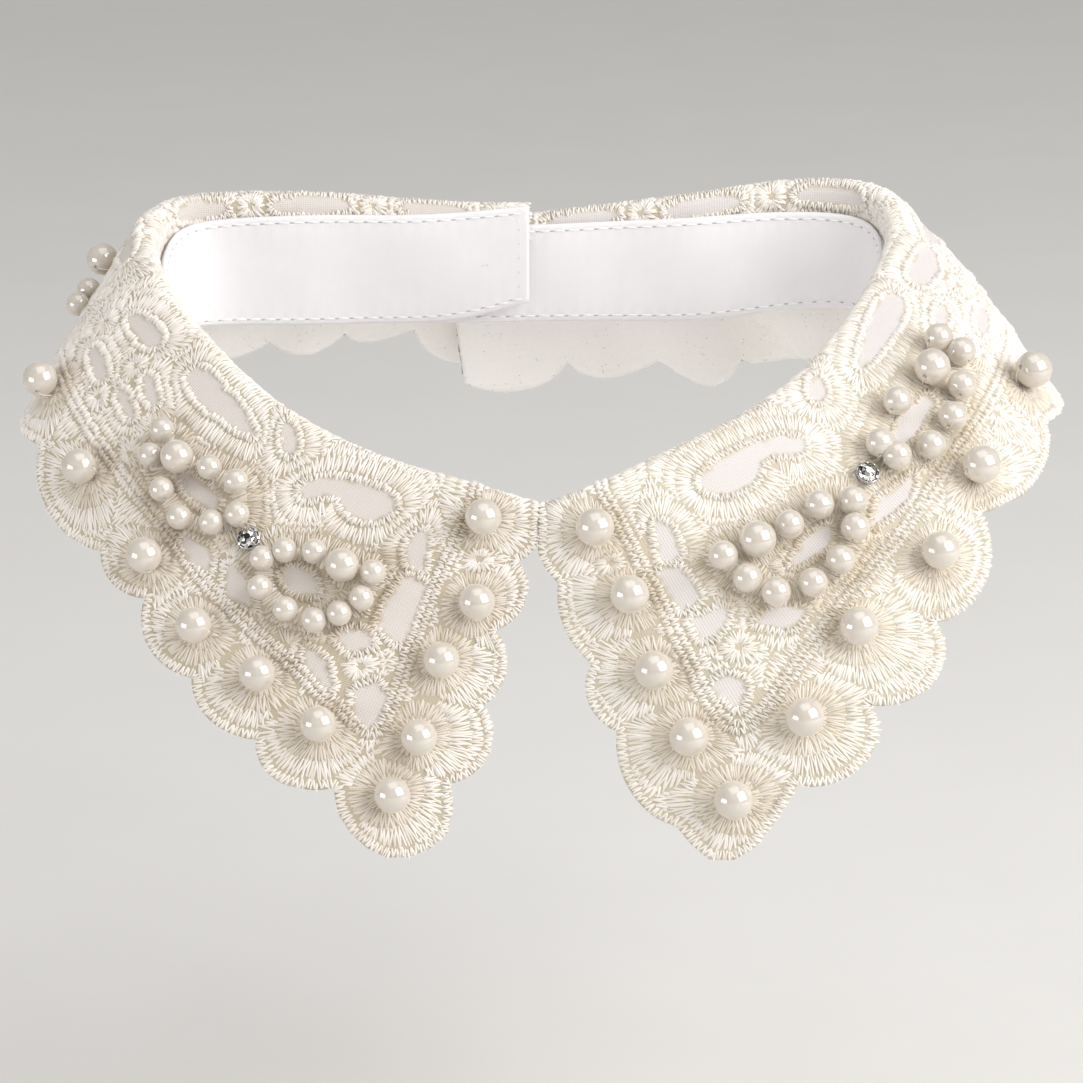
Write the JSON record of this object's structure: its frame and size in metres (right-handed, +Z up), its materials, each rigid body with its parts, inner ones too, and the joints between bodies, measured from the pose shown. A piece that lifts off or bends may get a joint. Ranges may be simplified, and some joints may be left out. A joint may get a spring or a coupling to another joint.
{
  "type": "false collar",
  "caption": "Detachable embroidered collar: plain neck band closed at the back, two scalloped falls meeting at the front, pearl beads along the edge and in loops.",
  "frame": {"origin": "middle of the neck opening, near the level of the band's lower edge at the back", "axes": "+X to the picture's right, -Y to the front of the collar, +Z up"},
  "size_m": [0.2041, 0.1575, 0.1046],
  "materials": {
    "band_cotton": "plain white cotton, matt",
    "embroidery_left": "cream satin stitch embroidery on white cotton",
    "embroidery_right": "ivory satin stitch embroidery on white cotton",
    "large_pearl": "pearl lustre",
    "small_pearl": "pearl lustre",
    "stone_setting": "bright silver setting with a clear faceted stone",
    "snap_metal": "nickel"
  },
  "bodies": {
    "root": {"stand": "band_cotton", "fall_left": "embroidery_left", "fall_right": "embroidery_right", "snap": "snap_metal", "rhinestone_left": "stone_setting", "rhinestone_right": "stone_setting", "loop_left_front": "small_pearl", "loop_left_side": "small_pearl", "loop_left_back": "small_pearl", "loop_right_front": "small_pearl", "loop_right_side": "small_pearl", "loop_right_back": "small_pearl", "pearl_left_01": "large_pearl", "pearl_left_02": "large_pearl", "pearl_left_03": "large_pearl", "pearl_left_04": "large_pearl", "pearl_left_05": "large_pearl", "pearl_left_06": "large_pearl", "pearl_left_07": "large_pearl", "pearl_left_08": "large_pearl", "pearl_left_09": "large_pearl", "pearl_left_10": "large_pearl", "pearl_left_11": "large_pearl", "pearl_left_12": "large_pearl", "pearl_left_13": "large_pearl", "pearl_left_14": "large_pearl", "pearl_left_15": "large_pearl", "pearl_left_16": "large_pearl", "pearl_left_17": "large_pearl", "pearl_left_18": "large_pearl", "pearl_right_01": "large_pearl", "pearl_right_02": "large_pearl", "pearl_right_03": "large_pearl", "pearl_right_04": "large_pearl", "pearl_right_05": "large_pearl", "pearl_right_06": "large_pearl", "pearl_right_07": "large_pearl", "pearl_right_08": "large_pearl", "pearl_right_09": "large_pearl", "pearl_right_10": "large_pearl", "pearl_right_11": "large_pearl", "pearl_right_12": "large_pearl", "pearl_right_13": "large_pearl", "pearl_right_14": "large_pearl", "pearl_right_15": "large_pearl", "pearl_right_16": "large_pearl"}
  },
  "joints": []
}
